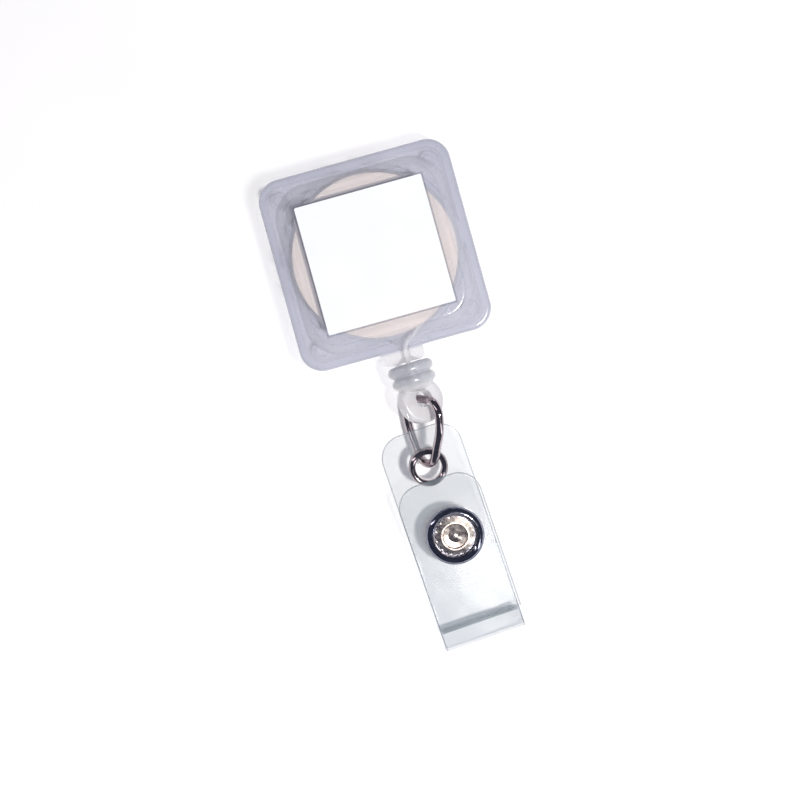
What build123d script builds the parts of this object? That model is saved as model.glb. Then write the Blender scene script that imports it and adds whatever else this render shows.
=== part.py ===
from build123d import *
import math
import os

# Retractable badge reel: spring-wound cord reel with belt clip, cord-end eye, link and snap strap.
# Frame: +Z is up out of the label, +Y points from the strap toward the top of the case,
# and the origin is on the belt clip's outer face, straight below the spool's axis.

os.makedirs("parts", exist_ok=True)

# ---- case ------------------------------------------------------------------------------
CASE_SIDE = 34.0
CASE_CORNER = 4.0
CASE_BACK = 4.0
CASE_SPLIT = 7.3
FLANGE_TOP = 10.2
CASE_TOP = 12.0
FLOOR = 1.2
WALL = 1.4
ROTOR_WELL_R = 14.9
RING_WALL = 0.8
WELL_TOP = 9.4
DOME_SIDE = 30.0
DOME_CORNER = 6.0
DOME_TAPER = 39.8
ROOF_POCKET_SIDE = 25.0
ROOF_POCKET_TOP = 10.8
LABEL_SIDE = 22.6
LABEL_THICK = 0.15
RECESS_SIDE = 23.2
RECESS_DEPTH = 0.2
CORNER_BOSS_AT = 13.4
CORNER_BOSS_R = 1.5
PIN_R = 0.8
PIN_RISE = 1.5
PIN_FIT = 0.05
CORNER_POCKET_TOP = 9.0
NECK_WIDTH = 7.6
NECK_CORNER = 1.0
NECK_REACH = 2.2
NECK_HALF_HEIGHT = 2.8
POST_R = 2.0
POST_TOP = 10.2
POST_SLOT = 0.5
POST_BOSS_R = 3.2
BACK_ROUND = 0.9
FLANGE_ROUND = 0.7
DOME_ROUND = 0.8
LABEL_ROUND = 0.3
GUIDE_ROOM_AT = (2.0, -15.4)
GUIDE_ROOM = (6.4, 2.0)
GUIDE_ROOM_DEPTH = 1.0

# ---- belt clip and rivet ---------------------------------------------------------------
CLIP_WIDTH = 12.5
CLIP_THICK = 0.7
CLIP_TOP = 14.0
CLIP_TAIL = -7.0
CLIP_TIP = -14.0
CLIP_NIP_FROM = -7.6
CLIP_NIP_AT = -10.6
CLIP_NIP_RISE = 1.5
CLIP_NIP_R = 2.0
CLIP_TIP_R = 1.5
BEND_EASE = 0.001
RIVET_SHANK_R = 1.2
RIVET_HEAD_R = 2.8
RIVET_FLARE_TOP = 6.8
RIVET_WELL_R = 1.7
RIVET_WELL_FLOOR = 6.0
RIVET_FLARE = 0.25
RIVET_FLARE_THICK = 0.3
RIVET_CONE = 0.15
RIVET_HEAD_THICK = 0.25
RIVET_CROWN = 0.65
WASHER_THICK = 0.3
WASHER_FIT = 0.02

# ---- rotor, spring and cord ------------------------------------------------------------
SPOOL_R = 14.3
SPOOL_BOTTOM = 5.5
SPOOL_TOP = 9.1
SPOOL_FLANGE = 0.6
DRUM_R = 9.6
DRUM_WALL = 0.9
POST_FIT = 0.06
CORD_R = 0.4
CORD_COLUMNS = 3
CORD_LAYERS = 4
SPRING_TURNS = 7
SPRING_STRIP = 0.25
SPRING_INNER_R = 2.35
SPRING_PITCH = 0.78
SPRING_BOTTOM = 5.55
SPRING_TOP = 7.9
CORD_X = 0.6
CORD_TANGENT_R = 13.5
CORD_BEND_R = 2.5
CORD_CORNER_Y = -16.4
CORD_PART_Y = -17.9
BORE_R = 0.8
MOUTH_R = 2.0
MOUTH_FLARE = 0.5
MOUTH_DEEP = 0.6
MOUTH_DEPTH = 0.9
SPOOL_ROUND = 0.2
HUB_DROP = 0.3
TURN_GAP = 0.005
LEAD_BEND_R = 8.0

# ---- cord end --------------------------------------------------------------------------
END_YAW = 2.5
END_ROLL = 25.0
END_GAP = 0.3
RIB_R = (4.05, 3.9)
RIB_PITCH = 2.05
RIB_HALF = 1.0
GROOVE_R = 3.3
EYE_AT = 7.05
EYE_R = 4.0
EYE_ROUND = 0.8
EYE_THICK = 2.7
EYE_HOLE_R = 1.55
EYE_HOLE_SIDE = 0.13
EYE_HOLE_RISE = 0.25
DOME_END = 1.5
KNOT_AT = 3.4
KNOT_R = 0.85
KNOT_UP = 0.55
KNOT_DOWN = 0.75
KNOT_SLOPE = 0.2
KNOT_FIT = 0.02
KNOT_ROOM_R = 1.25
KNOT_ROOM = 2.1
KNOT_ROOM_ABOVE = 0.95
GROOVE_HEIGHT = 1.0
DOME_SINK = 0.3

# ---- link ------------------------------------------------------------------------------
WIRE_R = 0.75
LINK_BAR_AT = (1.05, -26.05, 7.15)
LINK_FOOT_AT = (-0.75, -37.0, 5.5)
LINK_TILT = 58.5
LINK_HALF_WIDTH = 5.5
LINK_FOOT_R = 3.0
LINK_SIDE_R = 8.0
LINK_SHOULDER_R = 2.6
LINK_SEAM = 0.12
LINK_SIDE_FROM = 6.0
LINK_SIDE_IN = 0.5
LINK_APEX = 3.6

# ---- strap -----------------------------------------------------------------------------
STRAP_EYE_AT = (-0.85, -37.65, 5.5)
STRAP_YAW = 3.5
STRAP_SLOPE = 9.5
STRAP_THICK = 0.5
STRAP_LEFT = -7.4
STRAP_WIDTH = 14.45
FLAP_WIDTH = 14.85
STRAP_TOP = 6.9
STRAP_CORNER = 4.2
FLAP_LIFT = 2.4
FLAP_TOP = -1.95
CREASE_AT = -27.8
FOLD_R = 6.0
FOLD_ANGLE = 36.0

# ---- eyelet and snap -------------------------------------------------------------------
EYELET_HOLE_R = 2.25
EYELET_BARREL_R = 2.5
EYELET_R = 3.4
EYELET_RISE = 0.8
EYELET_LIP = 0.2
EYELET_ROLL = 0.55
EYELET_ROLL_FROM = 0.25
EYELET_ROLL_IN_R = 0.6
EYELET_ROLL_OUT_R = 0.85
EYELET_WASHER = 0.5
SNAP_X = 0.5
SNAP_Y = -12.4
SNAP_SHANK_R = 1.3
SNAP_R = 5.1
SNAP_CREST_R = 4.15
SNAP_SEAT_R = 3.5
SNAP_RISE = 1.3
SNAP_SEAT = 0.35
SNAP_EDGE = 0.15
SNAP_SKIRT = 0.4
SNAP_CROWN_OUT_R = 1.05
SNAP_CROWN_IN_R = 1.3
PETALS = 12
PETAL_IN = 2.45
PETAL_OUT = 3.4
PETAL_NOTCH = 0.42
PETAL_RISE = 0.45
BOWL_R = 2.0
BOWL_FLOOR_R = 1.2
CONE_R = 0.35
CONE_RISE = 0.5
SOCKET_R = 4.2
SOCKET_DROP = 1.1
SOCKET_MOUTH_R = 2.15
SOCKET_ROOM_R = 2.9
SOCKET_WALL = 0.2
SOCKET_LIP = 0.15
SOCKET_SKIRT = 0.35
SPRING_WIRE_R = 0.2
SPRING_ARC = 330
STUD_FLANGE_R = 4.0
STUD_NECK_R = 1.45
STUD_BULGE_R = 0.4
STUD_BASE = 0.35
STUD_NECK_FROM = 0.8
STUD_RISE = 1.35
STUD_HOLE_R = 0.6
STUD_HOLE_DEPTH = 0.9
STUD_DOME = 0.6
FIT = 0.05

half_case = CASE_SIDE / 2
half_strap = STRAP_THICK / 2
cord_z = CASE_SPLIT
neck_end = -half_case - NECK_REACH


def direction(x, y, z=0.0):
    """Unit vector from components."""
    return Vector(x, y, z).normalized()


def upright(base):
    """Plane whose sketch x is the base's x and whose sketch y is the base's normal."""
    return Plane(origin=base.origin, x_dir=base.x_dir, z_dir=-base.y_dir)


def dome_radius(half_width, rise):
    """Radius of a shallow dome from its half width and height."""
    return (half_width**2 + rise**2) / (2 * rise)


def axis_of(base):
    """Turning axis along a plane's normal."""
    return Axis(base.origin, base.z_dir)


# ---- placing planes --------------------------------------------------------------------
yaw = math.radians(END_YAW)
roll = math.radians(END_ROLL)
end_down = direction(math.sin(yaw), -math.cos(yaw))
end_side = direction(math.cos(yaw), math.sin(yaw))
end_width = end_side * math.cos(roll) - Vector(0, 0, 1) * math.sin(roll)
end_plane = Plane(origin=(CORD_X, neck_end, cord_z), x_dir=end_width, z_dir=end_down)
eye_centre = end_plane.from_local_coords(Vector(0, 0, EYE_AT))
eye_plane = Plane(origin=eye_centre, x_dir=end_width, z_dir=end_plane.y_dir)

link_bar = Vector(*LINK_BAR_AT)
link_foot = Vector(*LINK_FOOT_AT)
link_up = (link_bar - link_foot).normalized()
link_length = (link_bar - link_foot).length
link_level = direction(link_up.Y, -link_up.X)
link_lift = link_level.cross(link_up).normalized()
tilt = math.radians(LINK_TILT)
link_across = link_level * math.cos(tilt) + link_lift * math.sin(tilt)
link_plane = Plane(origin=link_bar, x_dir=link_across, z_dir=link_across.cross(link_up))

lean = math.radians(STRAP_YAW)
slope = math.radians(STRAP_SLOPE)
strap_plane = Plane(
    origin=STRAP_EYE_AT,
    x_dir=(math.cos(lean), math.sin(lean), 0),
    z_dir=(math.sin(lean) * math.sin(slope), -math.cos(lean) * math.sin(slope), math.cos(slope)),
)
strap_edge = Plane(
    origin=strap_plane.from_local_coords(Vector(STRAP_LEFT, 0, 0)),
    x_dir=strap_plane.y_dir,
    z_dir=strap_plane.x_dir,
)
snap_plane = Plane(
    origin=strap_plane.from_local_coords(Vector(SNAP_X, SNAP_Y, 0)),
    x_dir=strap_plane.x_dir,
    z_dir=strap_plane.z_dir,
)

# cord route in the level plane through the case's split
corner_angle = math.atan2(CORD_CORNER_Y, CORD_X)
tangent_angle = corner_angle + math.acos(CORD_TANGENT_R / math.hypot(CORD_X, CORD_CORNER_Y))
cord_start = (CORD_TANGENT_R * math.cos(tangent_angle), CORD_TANGENT_R * math.sin(tangent_angle))

case_corners = [(sx * CORNER_BOSS_AT, sy * CORNER_BOSS_AT) for sx in (-1, 1) for sy in (-1, 1)]


def cut_cord_passage():
    """Inner funnel, bore and outer mouth of the cord exit, cut along -Y."""
    inner_y = -half_case + WALL + 0.2
    with BuildSketch(Plane.XY.offset(cord_z)) as passage:
        with BuildLine(mode=Mode.PRIVATE) as outline:
            Polyline(
                (0, inner_y + MOUTH_DEEP),
                (MOUTH_R + MOUTH_FLARE, inner_y + MOUTH_DEEP),
                (MOUTH_R, inner_y),
                (BORE_R, -half_case),
                (BORE_R, neck_end + MOUTH_DEPTH),
                (MOUTH_R, neck_end),
                (MOUTH_R, neck_end - MOUTH_FLARE),
                (0, neck_end - MOUTH_FLARE),
                close=True,
            )
        with Locations((CORD_X, 0)):
            add(make_face(outline.edges(), mode=Mode.PRIVATE))
    revolve(passage.sketch.faces(), axis=Axis((CORD_X, 0, cord_z), (0, 1, 0)), mode=Mode.SUBTRACT)


def neck_block(z_low, z_high):
    """Half of the cord exit's outer block."""
    with BuildSketch(Plane.XY.offset(z_low)) as block:
        with Locations((0, neck_end)):
            RectangleRounded(NECK_WIDTH, 3 * NECK_REACH, NECK_CORNER, align=(Align.CENTER, Align.MIN))
    extrude(block.sketch, amount=z_high - z_low)


def corner_pockets(z_low, z_high):
    """Hollows between the rotor well's ring wall and the outer walls."""
    with BuildSketch(Plane.XY.offset(z_low)) as pockets:
        RectangleRounded(CASE_SIDE - 2 * WALL, CASE_SIDE - 2 * WALL, CASE_CORNER - WALL)
        Circle(ROTOR_WELL_R + RING_WALL, mode=Mode.SUBTRACT)
        with Locations(*case_corners):
            Circle(CORNER_BOSS_R, mode=Mode.SUBTRACT)
    extrude(pockets.sketch, amount=z_high - z_low, mode=Mode.SUBTRACT)


# ---- rear cover: floor, walls, ring wall, spindle post, corner pins --------------------
floor_top = CASE_BACK + FLOOR
with BuildPart() as rear_cover:
    with BuildSketch(Plane.XY.offset(CASE_BACK)):
        RectangleRounded(CASE_SIDE, CASE_SIDE, CASE_CORNER)
    extrude(amount=CASE_SPLIT - CASE_BACK)
    fillet(rear_cover.faces().sort_by(Axis.Z)[0].edges(), radius=BACK_ROUND)
    neck_block(CASE_SPLIT - NECK_HALF_HEIGHT, CASE_SPLIT)
    with BuildSketch(Plane.XY.offset(floor_top)):
        Circle(ROTOR_WELL_R)
    extrude(amount=CASE_SPLIT - floor_top, mode=Mode.SUBTRACT)
    corner_pockets(floor_top, CASE_SPLIT)
    with BuildSketch(Plane.XY.offset(floor_top)):
        Circle(POST_R)
    extrude(amount=POST_TOP - floor_top)
    with BuildSketch(Plane.XY.offset(SPRING_BOTTOM)):
        with Locations((0, POST_R)):
            Rectangle(POST_SLOT, 2 * (POST_R - RIVET_WELL_R + 0.1))
    extrude(amount=POST_TOP - SPRING_BOTTOM, mode=Mode.SUBTRACT)
    with BuildSketch(Plane.XY.offset(RIVET_WELL_FLOOR)):
        Circle(RIVET_WELL_R)
    extrude(amount=POST_TOP - RIVET_WELL_FLOOR, mode=Mode.SUBTRACT)
    with BuildSketch(Plane.XY.offset(CASE_BACK)):
        Circle(RIVET_SHANK_R + FIT)
    extrude(amount=POST_TOP - CASE_BACK, mode=Mode.SUBTRACT)
    with BuildSketch(Plane.XY.offset(CASE_SPLIT)):
        with Locations(*case_corners):
            Circle(PIN_R)
    extrude(amount=PIN_RISE)
    cut_cord_passage()
    with BuildSketch(Plane.XY.offset(CASE_SPLIT - GUIDE_ROOM_DEPTH)):
        with Locations(GUIDE_ROOM_AT):
            Rectangle(*GUIDE_ROOM)
    extrude(amount=GUIDE_ROOM_DEPTH, mode=Mode.SUBTRACT)
rear_cover.part.label = "rear_cover"
export_step(rear_cover.part, "parts/rear_cover.step")

# ---- front cover: flange, raised label dome, rotor well, post socket -------------------
with BuildPart() as front_cover:
    with BuildSketch(Plane.XY.offset(CASE_SPLIT)):
        RectangleRounded(CASE_SIDE, CASE_SIDE, CASE_CORNER)
    extrude(amount=FLANGE_TOP - CASE_SPLIT)
    fillet(front_cover.faces().sort_by(Axis.Z)[-1].edges(), radius=FLANGE_ROUND)
    with BuildSketch(Plane.XY.offset(FLANGE_TOP)):
        RectangleRounded(DOME_SIDE, DOME_SIDE, DOME_CORNER)
    extrude(amount=CASE_TOP - FLANGE_TOP, taper=DOME_TAPER)
    fillet(front_cover.faces().sort_by(Axis.Z)[-1].edges(), radius=DOME_ROUND)
    neck_block(CASE_SPLIT, CASE_SPLIT + NECK_HALF_HEIGHT)
    with BuildSketch(Plane.XY.offset(CASE_SPLIT)):
        Circle(ROTOR_WELL_R)
    extrude(amount=WELL_TOP - CASE_SPLIT, mode=Mode.SUBTRACT)
    with BuildSketch(Plane.XY.offset(WELL_TOP)):
        RectangleRounded(ROOF_POCKET_SIDE, ROOF_POCKET_SIDE, DOME_CORNER)
        Circle(POST_BOSS_R, mode=Mode.SUBTRACT)
    extrude(amount=ROOF_POCKET_TOP - WELL_TOP, mode=Mode.SUBTRACT)
    with BuildSketch(Plane.XY.offset(WELL_TOP)):
        Circle(POST_R + FIT)
    extrude(amount=POST_TOP - WELL_TOP + 0.1, mode=Mode.SUBTRACT)
    corner_pockets(CASE_SPLIT, CORNER_POCKET_TOP)
    with BuildSketch(Plane.XY.offset(CASE_SPLIT)):
        with Locations(*case_corners):
            Circle(PIN_R + PIN_FIT)
    extrude(amount=PIN_RISE + 0.1, mode=Mode.SUBTRACT)
    with BuildSketch(Plane.XY.offset(CASE_TOP - RECESS_DEPTH)):
        Rectangle(RECESS_SIDE, RECESS_SIDE)
    extrude(amount=RECESS_DEPTH, mode=Mode.SUBTRACT)
    cut_cord_passage()
    with BuildSketch(Plane.XY.offset(CASE_SPLIT)):
        with Locations(GUIDE_ROOM_AT):
            Rectangle(*GUIDE_ROOM)
    extrude(amount=GUIDE_ROOM_DEPTH, mode=Mode.SUBTRACT)
front_cover.part.label = "front_cover"
export_step(front_cover.part, "parts/front_cover.step")

# ---- blank label in its recess ---------------------------------------------------------
with BuildPart() as label:
    with BuildSketch(Plane.XY.offset(CASE_TOP - RECESS_DEPTH)):
        RectangleRounded(LABEL_SIDE, LABEL_SIDE, LABEL_ROUND)
    extrude(amount=LABEL_THICK)
label.part.label = "label"
export_step(label.part, "parts/label.step")

# ---- spool: top disc, drum, lower flange -----------------------------------------------
channel_low = SPOOL_BOTTOM + SPOOL_FLANGE
channel_high = SPOOL_TOP - SPOOL_FLANGE
with BuildPart() as spool:
    with BuildSketch(Plane.XZ):
        with BuildLine():
            Polyline(
                (POST_R + POST_FIT, channel_high - HUB_DROP),
                (POST_BOSS_R, channel_high - HUB_DROP),
                (POST_BOSS_R, channel_high),
                (DRUM_R - DRUM_WALL, channel_high),
                (DRUM_R - DRUM_WALL, SPOOL_BOTTOM),
                (SPOOL_R, SPOOL_BOTTOM),
                (SPOOL_R, channel_low),
                (DRUM_R, channel_low),
                (DRUM_R, channel_high),
                (SPOOL_R, channel_high),
                (SPOOL_R, SPOOL_TOP),
                (POST_R + POST_FIT, SPOOL_TOP),
                close=True,
            )
        make_face()
    revolve(axis=Axis.Z)
    rim_edges = spool.edges().filter_by(GeomType.CIRCLE).group_by(SortBy.RADIUS)[-1]
    fillet(rim_edges, radius=SPOOL_ROUND)
spool.part.label = "spool"
export_step(spool.part, "parts/spool.step")

# ---- power spring: flat strip coiled in half turns of growing radius -------------------
spring_step = SPRING_PITCH / 2
with BuildPart() as power_spring:
    with BuildSketch(Plane.XY.offset(SPRING_BOTTOM)):
        with BuildLine():
            inner_ends = []
            outer_ends = []
            for i in range(2 * SPRING_TURNS):
                start = 90 if i % 2 == 0 else 270
                centre = (0, 0) if i % 2 == 0 else (0, spring_step)
                radius = SPRING_INNER_R + i * spring_step
                inner_ends.append(CenterArc(centre, radius, start, 180))
                outer_ends.append(CenterArc(centre, radius + SPRING_STRIP, start, 180))
            Line(inner_ends[0] @ 0, outer_ends[0] @ 0)
            Line(inner_ends[-1] @ 1, outer_ends[-1] @ 1)
        make_face()
    extrude(amount=SPRING_TOP - SPRING_BOTTOM)
    with BuildSketch(Plane.XY.offset(SPRING_BOTTOM)):
        with Locations((0, RIVET_WELL_R + 0.15)):
            Rectangle(
                SPRING_STRIP,
                SPRING_INNER_R + SPRING_STRIP - RIVET_WELL_R - 0.15,
                align=(Align.CENTER, Align.MIN),
            )
    extrude(amount=SPRING_TOP - SPRING_BOTTOM)
power_spring.part.label = "power_spring"
export_step(power_spring.part, "parts/power_spring.step")

# ---- cord wound on the drum: a turned pack with one bead per turn ----------------------
pack_outer = DRUM_R + 2 * CORD_R * CORD_LAYERS
with BuildPart() as cord_winding:
    with BuildSketch(Plane.XZ):
        with Locations(((DRUM_R + pack_outer) / 2 - CORD_R / 2, cord_z)):
            Rectangle(pack_outer - DRUM_R - CORD_R, 2 * CORD_R * CORD_COLUMNS - 4 * TURN_GAP)
        with Locations(*[(pack_outer - CORD_R, cord_z + 2 * CORD_R * k) for k in (-1, 0, 1)]):
            Circle(CORD_R - TURN_GAP)
    revolve(axis=Axis.Z)
cord_winding.part.label = "cord_winding"
export_step(cord_winding.part, "parts/cord_winding.step")

# ---- cord from the spool round the exit guide ------------------------------------------
with BuildPart() as cord_guide_run:
    with BuildLine(Plane.XY.offset(cord_z)) as guide_path:
        FilletPolyline(cord_start, (CORD_X, CORD_CORNER_Y), (CORD_X, CORD_PART_Y), radius=CORD_BEND_R)
    with BuildSketch(Plane(origin=guide_path.line @ 0, z_dir=guide_path.line % 0)):
        Circle(CORD_R)
    sweep(path=guide_path.line)
cord_guide_run.part.label = "cord_guide_run"
export_step(cord_guide_run.part, "parts/cord_guide_run.step")

# ---- cord that travels with the cord end -----------------------------------------------
knot_centre = end_plane.from_local_coords(Vector(0, 0, KNOT_AT))
with BuildPart() as cord_lead:
    with BuildLine(Plane.XY.offset(cord_z)) as lead_path:
        FilletPolyline(
            (CORD_X, CORD_PART_Y),
            (CORD_X, neck_end),
            (knot_centre.X, knot_centre.Y),
            radius=LEAD_BEND_R,
        )
    with BuildSketch(Plane(origin=lead_path.line @ 0, z_dir=lead_path.line % 0)):
        Circle(CORD_R)
    sweep(path=lead_path.line)
cord_lead.part.label = "cord_lead"
export_step(cord_lead.part, "parts/cord_lead.step")

# ---- knot that holds the cord end on the cord ------------------------------------------
with BuildPart() as cord_knot:
    with BuildSketch(upright(end_plane)):
        with BuildLine():
            Polyline(
                (0, KNOT_AT + KNOT_FIT),
                (CORD_R, KNOT_AT + KNOT_FIT),
                (CORD_R, KNOT_AT - KNOT_UP),
                (KNOT_R, KNOT_AT - KNOT_UP + KNOT_SLOPE),
                (KNOT_R, KNOT_AT),
                (KNOT_R - KNOT_SLOPE, KNOT_AT + KNOT_SLOPE / 2),
                (KNOT_R, KNOT_AT + KNOT_SLOPE),
                (KNOT_R, KNOT_AT + KNOT_DOWN - KNOT_SLOPE),
                (CORD_R, KNOT_AT + KNOT_DOWN),
                (0, KNOT_AT + KNOT_DOWN),
                close=True,
            )
        make_face()
    revolve(axis=axis_of(end_plane))
cord_knot.part.label = "cord_knot"
export_step(cord_knot.part, "parts/cord_knot.step")

# ---- cord end: two round ribs and an eye -----------------------------------------------
rib_mid = [END_GAP + RIB_HALF + k * RIB_PITCH for k in (0, 1)]
shoulder = rib_mid[1] + RIB_HALF
with BuildPart() as cord_end:
    with BuildSketch(upright(end_plane)):
        with BuildLine():
            Line((0, END_GAP), (RIB_R[0] - RIB_HALF, END_GAP))
            CenterArc((RIB_R[0] - RIB_HALF, rib_mid[0]), RIB_HALF, -90, 180)
            Line((RIB_R[0] - RIB_HALF, rib_mid[0] + RIB_HALF), (RIB_R[1] - RIB_HALF, rib_mid[1] - RIB_HALF))
            CenterArc((RIB_R[1] - RIB_HALF, rib_mid[1]), RIB_HALF, -90, 180)
            Line((RIB_R[1] - RIB_HALF, shoulder), (0, shoulder))
            Line((0, shoulder), (0, END_GAP))
        make_face()
        with Locations((GROOVE_R / 2, (rib_mid[0] + rib_mid[1]) / 2)):
            Rectangle(GROOVE_R, GROOVE_HEIGHT)
    revolve(axis=axis_of(end_plane))
    with BuildSketch(upright(end_plane)):
        with Locations((0, shoulder - DOME_SINK)):
            Ellipse(GROOVE_R, DOME_END)
        with Locations((0, shoulder)):
            Rectangle(4 * GROOVE_R, 4 * GROOVE_R, align=(Align.MAX, Align.CENTER), mode=Mode.SUBTRACT)
    revolve(axis=axis_of(end_plane))
    with BuildSketch(eye_plane.offset(-EYE_THICK / 2)):
        Circle(EYE_R)
    extrude(amount=EYE_THICK)
    rim = cord_end.edges().filter_by(GeomType.CIRCLE).filter_by(lambda e: abs(e.radius - EYE_R) < 0.001)
    fillet(rim, radius=EYE_ROUND)
    with BuildSketch(eye_plane.offset(-EYE_THICK)):
        with Locations((EYE_HOLE_SIDE, EYE_HOLE_RISE)):
            Circle(EYE_HOLE_R)
    extrude(amount=2 * EYE_THICK, mode=Mode.SUBTRACT)
    with BuildSketch(end_plane.offset(END_GAP)):
        Circle(BORE_R)
    extrude(amount=KNOT_AT - END_GAP, mode=Mode.SUBTRACT)
    with BuildSketch(end_plane.offset(KNOT_AT - KNOT_ROOM_ABOVE)):
        Circle(KNOT_ROOM_R)
    extrude(amount=KNOT_ROOM, mode=Mode.SUBTRACT)
cord_end.part.label = "cord_end"
export_step(cord_end.part, "parts/cord_end.step")

# ---- wire link through the cord end's eye and the strap's eyelet -----------------------
with BuildPart() as link_ring:
    with BuildLine(link_plane) as link_path:
        FilletPolyline(
            (0, 0),
            (LINK_HALF_WIDTH, 0),
            (LINK_HALF_WIDTH - LINK_SIDE_IN, LINK_SIDE_FROM - link_length),
            (0, -LINK_APEX - link_length),
            (LINK_SIDE_IN - LINK_HALF_WIDTH, LINK_SIDE_FROM - link_length),
            (-LINK_HALF_WIDTH, 0),
            (-LINK_SEAM, 0),
            radius=(LINK_SHOULDER_R, LINK_SIDE_R, LINK_FOOT_R, LINK_SIDE_R, LINK_SHOULDER_R),
        )
    with BuildSketch(Plane(origin=link_bar, x_dir=link_plane.z_dir, z_dir=link_across)):
        Circle(WIRE_R)
    sweep(path=link_path.line)
link_ring.part.label = "link_ring"
export_step(link_ring.part, "parts/link_ring.step")

# ---- strap: back strip and turned-up fold ----------------------------------------------
turn = math.radians(FOLD_ANGLE)
bow_drop = FOLD_R * (1 - math.cos(turn))
hem_r = (FLAP_LIFT - bow_drop) / (1 + math.cos(turn))
bow_centre = (CREASE_AT, FLAP_LIFT - FOLD_R)
hem_centre = (CREASE_AT - (FOLD_R - hem_r) * math.sin(turn), hem_r)
hem_arc = 180 - FOLD_ANGLE
with BuildPart() as strap_back:
    with BuildSketch(strap_edge):
        with BuildLine():
            outer_bow = CenterArc(bow_centre, FOLD_R + half_strap, 90, FOLD_ANGLE)
            outer_hem = CenterArc(hem_centre, hem_r + half_strap, 90 + FOLD_ANGLE, hem_arc)
            inner_bow = CenterArc(bow_centre, FOLD_R - half_strap, 90, FOLD_ANGLE)
            inner_hem = CenterArc(hem_centre, hem_r - half_strap, 90 + FOLD_ANGLE, hem_arc)
            Line(outer_bow @ 0, inner_bow @ 0)
            Polyline(outer_hem @ 1, (STRAP_TOP, -half_strap), (STRAP_TOP, half_strap), inner_hem @ 1)
        make_face()
    extrude(amount=STRAP_WIDTH)
    with BuildSketch(strap_plane.offset(-half_strap)):
        with Locations((STRAP_LEFT, STRAP_TOP)):
            Rectangle(STRAP_WIDTH, STRAP_CORNER, align=(Align.MIN, Align.MAX))
        with Locations((STRAP_LEFT + STRAP_WIDTH / 2, STRAP_TOP)):
            RectangleRounded(
                STRAP_WIDTH,
                3 * STRAP_CORNER,
                STRAP_CORNER,
                align=(Align.CENTER, Align.MAX),
                mode=Mode.SUBTRACT,
            )
    extrude(amount=STRAP_THICK, mode=Mode.SUBTRACT)
    with BuildSketch(strap_plane.offset(-half_strap)):
        Circle(EYELET_BARREL_R + FIT)
        with Locations((SNAP_X, SNAP_Y)):
            Circle(SNAP_SHANK_R + FIT)
    extrude(amount=STRAP_THICK, mode=Mode.SUBTRACT)
strap_back.part.label = "strap_back"
export_step(strap_back.part, "parts/strap_back.step")

# ---- strap flap above the crease -------------------------------------------------------
with BuildPart() as strap_flap:
    with BuildSketch(strap_plane.offset(FLAP_LIFT - half_strap)) as flap_outline:
        with Locations((STRAP_LEFT, CREASE_AT)):
            Rectangle(FLAP_WIDTH, FLAP_TOP - CREASE_AT, align=(Align.MIN, Align.MIN))
        fillet(flap_outline.vertices().group_by(Axis.Y)[-1], radius=STRAP_CORNER)
        with Locations((SNAP_X, SNAP_Y)):
            Circle(SNAP_SHANK_R + FIT, mode=Mode.SUBTRACT)
    extrude(amount=STRAP_THICK)
strap_flap.part.label = "strap_flap"
export_step(strap_flap.part, "parts/strap_flap.step")

# ---- eyelet: barrel with a rolled front rim --------------------------------------------
eyelet_back = -half_strap - EYELET_RISE
with BuildPart() as eyelet:
    with BuildSketch(upright(strap_plane)):
        with BuildLine():
            Polyline(
                (EYELET_R, half_strap),
                (EYELET_BARREL_R, half_strap),
                (EYELET_BARREL_R, eyelet_back + EYELET_LIP),
                (EYELET_HOLE_R, eyelet_back + EYELET_LIP),
                (EYELET_HOLE_R, half_strap + EYELET_ROLL_FROM),
            )
            roll_in = RadiusArc(
                (EYELET_HOLE_R, half_strap + EYELET_ROLL_FROM),
                (EYELET_HOLE_R + EYELET_ROLL, half_strap + EYELET_RISE),
                EYELET_ROLL_IN_R,
            )
            RadiusArc(roll_in @ 1, (EYELET_R, half_strap), EYELET_ROLL_OUT_R)
        make_face()
    revolve(axis=axis_of(strap_plane))
eyelet.part.label = "eyelet"
export_step(eyelet.part, "parts/eyelet.step")

# ---- eyelet washer clinched behind the strap -------------------------------------------
with BuildPart() as eyelet_washer:
    with BuildSketch(strap_plane.offset(-half_strap - EYELET_WASHER)):
        Circle(EYELET_R)
        Circle(EYELET_BARREL_R, mode=Mode.SUBTRACT)
    extrude(amount=EYELET_WASHER)
    fillet(eyelet_washer.faces().sort_by(Axis.Z)[0].edges(), radius=EYELET_LIP)
eyelet_washer.part.label = "eyelet_washer"
export_step(eyelet_washer.part, "parts/eyelet_washer.step")

# ---- snap: crowned front ring ----------------------------------------------------------
flap_face = FLAP_LIFT + half_strap
flap_under = FLAP_LIFT - half_strap
seat = flap_face + SNAP_SEAT
with BuildPart() as snap_cap:
    with BuildSketch(upright(snap_plane)):
        with BuildLine():
            bottom = Polyline(
                (SNAP_SEAT_R, seat),
                (SNAP_SHANK_R + 2 * SNAP_EDGE, seat),
                (SNAP_SHANK_R + 2 * SNAP_EDGE, flap_face),
                (SNAP_R - SNAP_EDGE, flap_face),
                (SNAP_R, flap_face + SNAP_EDGE),
                (SNAP_R, flap_face + SNAP_SKIRT),
            )
            crown = RadiusArc(bottom @ 1, (SNAP_CREST_R, flap_face + SNAP_RISE), -SNAP_CROWN_OUT_R)
            RadiusArc(crown @ 1, bottom @ 0, -SNAP_CROWN_IN_R)
        make_face()
    revolve(axis=axis_of(snap_plane))
snap_cap.part.label = "snap_cap"
export_step(snap_cap.part, "parts/snap_cap.step")

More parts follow.
